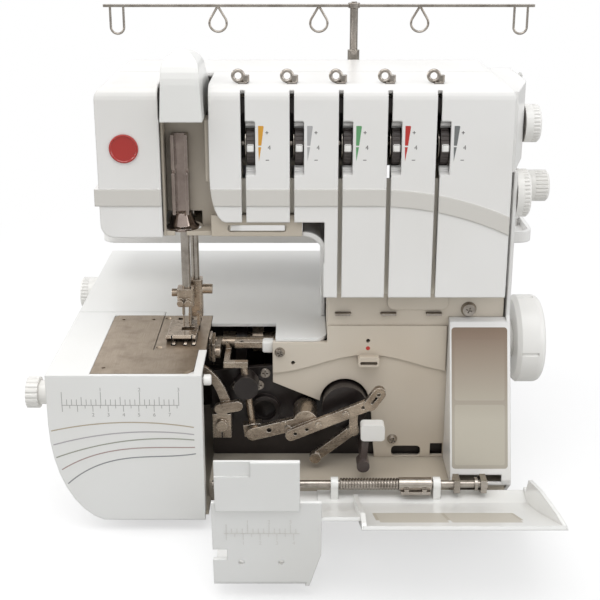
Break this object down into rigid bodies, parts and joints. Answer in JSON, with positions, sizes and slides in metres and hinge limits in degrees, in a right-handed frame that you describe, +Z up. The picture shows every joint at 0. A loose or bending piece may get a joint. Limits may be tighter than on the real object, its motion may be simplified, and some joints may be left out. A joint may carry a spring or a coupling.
{
  "type": "serger overlock machine",
  "caption": "Domestic overlock sewing machine with slotted tension head, needle arm, thread stand and its looper cover open.",
  "frame": {"origin": "on the table under the middle of the machine, measured with its front cover open", "axes": "+X to the operator's right, +Y to the rear, +Z up"},
  "size_m": [0.368, 0.368, 0.337],
  "materials": {
    "white_plastic": "smooth gloss",
    "beige_plastic": "satin",
    "grey_plastic": "satin",
    "charcoal_plastic": "satin",
    "dark_casting": "oiled dark",
    "warm_steel": "brushed",
    "chrome": "polished",
    "motor_steel": "satin",
    "rubber": "matte",
    "red_plastic": "gloss",
    "lamp_shade": "frosted"
  },
  "bodies": {
    "frame": {"base_tray": "beige_plastic", "rubber_feet": "rubber", "bed_cover": "white_plastic", "inner_panel": "beige_plastic", "right_side_cover": "white_plastic", "face_cover": "white_plastic", "rear_cover": "white_plastic", "needle_bar_hood": "white_plastic", "badge": "red_plastic", "arm_frame": "beige_plastic", "mechanism_casting": "dark_casting", "needle_plate": "warm_steel", "lower_knife": "warm_steel", "needle_bar_guide": "chrome", "thread_guides": "chrome", "panel_screws": "chrome", "tension_bracket": "charcoal_plastic", "tension_discs": "chrome", "motor": "motor_steel", "drive_belt": "rubber", "power_inlet": "charcoal_plastic", "work_lamp": "lamp_shade", "spool_stand": "white_plastic", "spool_pins": "grey_plastic", "antenna_tube": "chrome", "hinge_rod": "chrome"},
    "switch": {"power_switch": "charcoal_plastic"},
    "drive": {"handwheel": "white_plastic", "main_shaft": "warm_steel"},
    "motor_rotor": {"motor_pulley": "warm_steel"},
    "needle_set": {"needle_bar": "chrome", "needle_clamp": "warm_steel", "needles": "chrome"},
    "presser": {"presser_bar": "chrome", "presser_foot": "chrome"},
    "lifter": {"presser_lifter": "charcoal_plastic"},
    "upper_looper": {"upper_looper": "warm_steel"},
    "lower_looper": {"lower_looper": "warm_steel"},
    "take_up": {"looper_take_up": "warm_steel"},
    "upper_knife": {"upper_knife": "warm_steel"},
    "main_feed": {"main_feed_dog": "warm_steel"},
    "differential_feed": {"differential_feed_dog": "warm_steel"},
    "threading_lever": {"threading_lever": "white_plastic"},
    "left_cover": {"left_cover": "white_plastic", "cloth_plate": "warm_steel"},
    "latch": {"cover_latch": "white_plastic"},
    "width_knob": {"cutting_width_knob": "white_plastic"},
    "cover_slide": {"cover_slide": "chrome"},
    "front_cover": {"front_cover": "white_plastic"},
    "dial_1": {"tension_dial_1": "charcoal_plastic"},
    "dial_2": {"tension_dial_2": "charcoal_plastic"},
    "dial_3": {"tension_dial_3": "charcoal_plastic"},
    "dial_4": {"tension_dial_4": "charcoal_plastic"},
    "dial_5": {"tension_dial_5": "charcoal_plastic"},
    "length_dial": {"stitch_length_dial": "white_plastic"},
    "feed_dial": {"differential_feed_dial": "white_plastic"},
    "pressure_knob": {"presser_pressure_knob": "white_plastic"},
    "stitch_width_dial": {"stitch_width_dial": "white_plastic"},
    "antenna": {"antenna_rod": "chrome"},
    "guide_bar": {"guide_bar": "chrome"}
  },
  "joints": [
    {"name": "handwheel_spin", "type": "hinge", "parent": "frame", "child": "drive", "pos_m": [0.15, 0.0325, 0.0955], "axis": [1, 0, 0], "continuous": true},
    {"name": "motor_spin", "type": "hinge", "parent": "frame", "child": "motor_rotor", "pos_m": [0.098, 0.1275, 0.052], "axis": [1, 0, 0], "continuous": true},
    {"name": "needle_bar_travel", "type": "slide", "parent": "frame", "child": "needle_set", "axis": [0, 0, 1], "range_m": [-0.012, 0.015]},
    {"name": "upper_looper_travel", "type": "slide", "parent": "frame", "child": "upper_looper", "axis": [-0.127, 0, 0.9919], "range_m": [-0.0048, 0.006]},
    {"name": "take_up_swing", "type": "hinge", "parent": "frame", "child": "take_up", "pos_m": [0.005, -0.0175, 0.06], "axis": [0, 1, 0], "range_deg": [-7.26, 9.07]},
    {"name": "lower_looper_swing", "type": "hinge", "parent": "frame", "child": "lower_looper", "pos_m": [-0.0536, -0.0175, 0.0572], "axis": [0, 1, 0], "range_deg": [-7.6, 6.1]},
    {"name": "upper_knife_swing", "type": "hinge", "parent": "frame", "child": "upper_knife", "pos_m": [-0.04, 0.0065, 0.103], "axis": [1, 0, 0], "range_deg": [-3.5, 2.8]},
    {"name": "main_feed_travel", "type": "slide", "parent": "frame", "child": "main_feed", "axis": [0, 1, 0], "range_m": [-0.0021, 0.0025]},
    {"name": "differential_feed_travel", "type": "slide", "parent": "frame", "child": "differential_feed", "axis": [0, 1, 0], "range_m": [-0.0021, 0.0025]},
    {"name": "presser_lift", "type": "hinge", "parent": "frame", "child": "lifter", "pos_m": [-0.0735, 0.0445, 0.219], "axis": [-1, 0, 0], "range_deg": [0, 14.4]},
    {"name": "presser_bar_travel", "type": "slide", "parent": "frame", "child": "presser", "axis": [0, 0, 1], "range_m": [0, 0.0061]},
    {"name": "threading_lever_swing", "type": "hinge", "parent": "frame", "child": "threading_lever", "pos_m": [0.045, -0.0455, 0.034], "axis": [0, 1, 0], "range_deg": [0, 15]},
    {"name": "left_cover_swing", "type": "hinge", "parent": "frame", "child": "left_cover", "pos_m": [-0.164, 0.035, 0.06], "axis": [0, 0, -1], "range_deg": [0, 80]},
    {"name": "cover_latch_slide", "type": "slide", "parent": "left_cover", "child": "latch", "axis": [1, 0, 0], "range_m": [0, 0.002]},
    {"name": "cutting_width_turn", "type": "hinge", "parent": "left_cover", "child": "width_knob", "pos_m": [-0.178, -0.0525, 0.0915], "axis": [1, 0, 0], "range_deg": [-150, 150]},
    {"name": "front_cover_slide", "type": "slide", "parent": "frame", "child": "cover_slide", "axis": [1, 0, 0], "range_m": [-0.01, 0]},
    {"name": "front_cover_tilt", "type": "hinge", "parent": "cover_slide", "child": "front_cover", "pos_m": [0.06, -0.0695, 0.0315], "axis": [1, 0, 0], "range_deg": [-97, 0]},
    {"name": "tension_1_turn", "type": "hinge", "parent": "frame", "child": "dial_1", "pos_m": [-0.03105, -0.015, 0.255], "axis": [1, 0, 0], "range_deg": [-30, 30]},
    {"name": "tension_2_turn", "type": "hinge", "parent": "frame", "child": "dial_2", "pos_m": [0.00065, -0.015, 0.255], "axis": [1, 0, 0], "range_deg": [-30, 30]},
    {"name": "tension_3_turn", "type": "hinge", "parent": "frame", "child": "dial_3", "pos_m": [0.03235, -0.015, 0.255], "axis": [1, 0, 0], "range_deg": [-30, 30]},
    {"name": "tension_4_turn", "type": "hinge", "parent": "frame", "child": "dial_4", "pos_m": [0.06405, -0.015, 0.255], "axis": [1, 0, 0], "range_deg": [-30, 30]},
    {"name": "tension_5_turn", "type": "hinge", "parent": "frame", "child": "dial_5", "pos_m": [0.09575, -0.015, 0.255], "axis": [1, 0, 0], "range_deg": [-30, 30]},
    {"name": "stitch_length_turn", "type": "hinge", "parent": "frame", "child": "length_dial", "pos_m": [0.16, 0.0325, 0.259], "axis": [1, 0, 0], "range_deg": [0, 270]},
    {"name": "differential_feed_turn", "type": "hinge", "parent": "frame", "child": "feed_dial", "pos_m": [0.15, -0.0035, 0.2178], "axis": [1, 0, 0], "range_deg": [-60, 90]},
    {"name": "presser_pressure_turn", "type": "hinge", "parent": "frame", "child": "pressure_knob", "pos_m": [0.17, 0.0425, 0.211], "axis": [1, 0, 0], "range_deg": [-180, 180]},
    {"name": "stitch_width_turn", "type": "hinge", "parent": "frame", "child": "stitch_width_dial", "pos_m": [-0.17, 0.1145, 0.101], "axis": [1, 0, 0], "range_deg": [0, 180]},
    {"name": "antenna_travel", "type": "slide", "parent": "frame", "child": "antenna", "axis": [0, 0, 1], "range_m": [-0.012, 0.06]},
    {"name": "guide_bar_turn", "type": "hinge", "parent": "antenna", "child": "guide_bar", "pos_m": [0.042, 0.1065, 0.334], "axis": [0, 0, 1], "range_deg": [-25, 25]},
    {"name": "power_switch_rock", "type": "hinge", "parent": "frame", "child": "switch", "pos_m": [0.0815, 0.1775, 0.041], "axis": [1, 0, 0], "range_deg": [0, 12]}
  ],
  "couplings": [
    {"joint": "motor_spin", "follows": "handwheel_spin", "ratio": 3},
    {"joint": "upper_looper_travel", "follows": "needle_bar_travel", "ratio": 0.4},
    {"joint": "take_up_swing", "follows": "needle_bar_travel", "rad_per_m": 10.54},
    {"joint": "lower_looper_swing", "follows": "needle_bar_travel", "rad_per_m": -8.73},
    {"joint": "upper_knife_swing", "follows": "needle_bar_travel", "rad_per_m": -4},
    {"joint": "main_feed_travel", "follows": "needle_bar_travel", "ratio": 0.16},
    {"joint": "differential_feed_travel", "follows": "needle_bar_travel", "ratio": 0.16},
    {"joint": "presser_bar_travel", "follows": "presser_lift", "m_per_rad": 0.0239}
  ]
}
